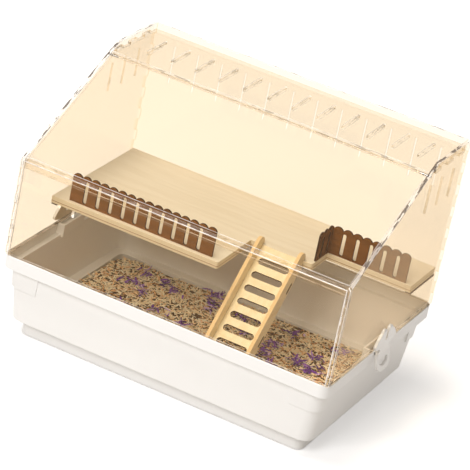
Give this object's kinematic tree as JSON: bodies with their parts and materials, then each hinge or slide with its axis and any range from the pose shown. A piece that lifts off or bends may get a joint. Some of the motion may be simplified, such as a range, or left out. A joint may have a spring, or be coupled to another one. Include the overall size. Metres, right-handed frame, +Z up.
{
  "type": "hamster cage",
  "caption": "Clear acrylic small-pet cage with a sloping flip-up door, on a white latched tray, with a wooden deck, scalloped fences, a slotted ladder and shavings.",
  "frame": {"origin": "middle of the tray's underside, where the cage stands on the table", "axes": "+X along the cage to the end with the narrow deck, -Y to the sloping front, +Z up"},
  "size_m": [0.4904, 0.323, 0.354],
  "materials": {
    "acrylic": "clear polished acrylic sheet",
    "white_plastic": "white moulded plastic, glossy",
    "pale_wood": "pale sanded wood, bare",
    "brown_wood": "brown stained wood",
    "bedding": "loose wood shavings with purple paper shreds",
    "steel": "bare steel pin"
  },
  "bodies": {
    "tray": {"tray": "white_plastic", "bedding": "bedding", "latch_pins": "steel"},
    "cover": {"end_panel_left": "acrylic", "end_panel_right": "acrylic", "front_panel": "acrylic", "door_rest": "acrylic", "back_panel": "acrylic", "top_panel": "acrylic", "deck": "pale_wood", "ledge_left": "brown_wood", "ledge_right": "brown_wood", "fence_front": "brown_wood", "fence_side_long": "brown_wood", "fence_side_short": "brown_wood", "ladder_tread": "pale_wood", "ladder_rail_left": "pale_wood", "ladder_rail_right": "pale_wood"},
    "door": {"door": "acrylic", "door_pins": "steel"},
    "latch_left": {"latch_left": "white_plastic"},
    "latch_right": {"latch_right": "white_plastic"}
  },
  "joints": [
    {"name": "cover_lift", "type": "slide", "parent": "tray", "child": "cover", "axis": [0, 0, 1], "range_m": [0, 0.15]},
    {"name": "door_hinge", "type": "hinge", "parent": "cover", "child": "door", "pos_m": [0, 0.0344, 0.34172], "axis": [-1, 0, 0], "range_deg": [0, 120]},
    {"name": "latch_right_hinge", "type": "hinge", "parent": "tray", "child": "latch_right", "pos_m": [0.2315, 0, 0.106], "axis": [0, 1, 0], "range_deg": [0, 20]},
    {"name": "latch_left_hinge", "type": "hinge", "parent": "tray", "child": "latch_left", "pos_m": [-0.2315, 0, 0.106], "axis": [0, -1, 0], "range_deg": [0, 20]}
  ]
}
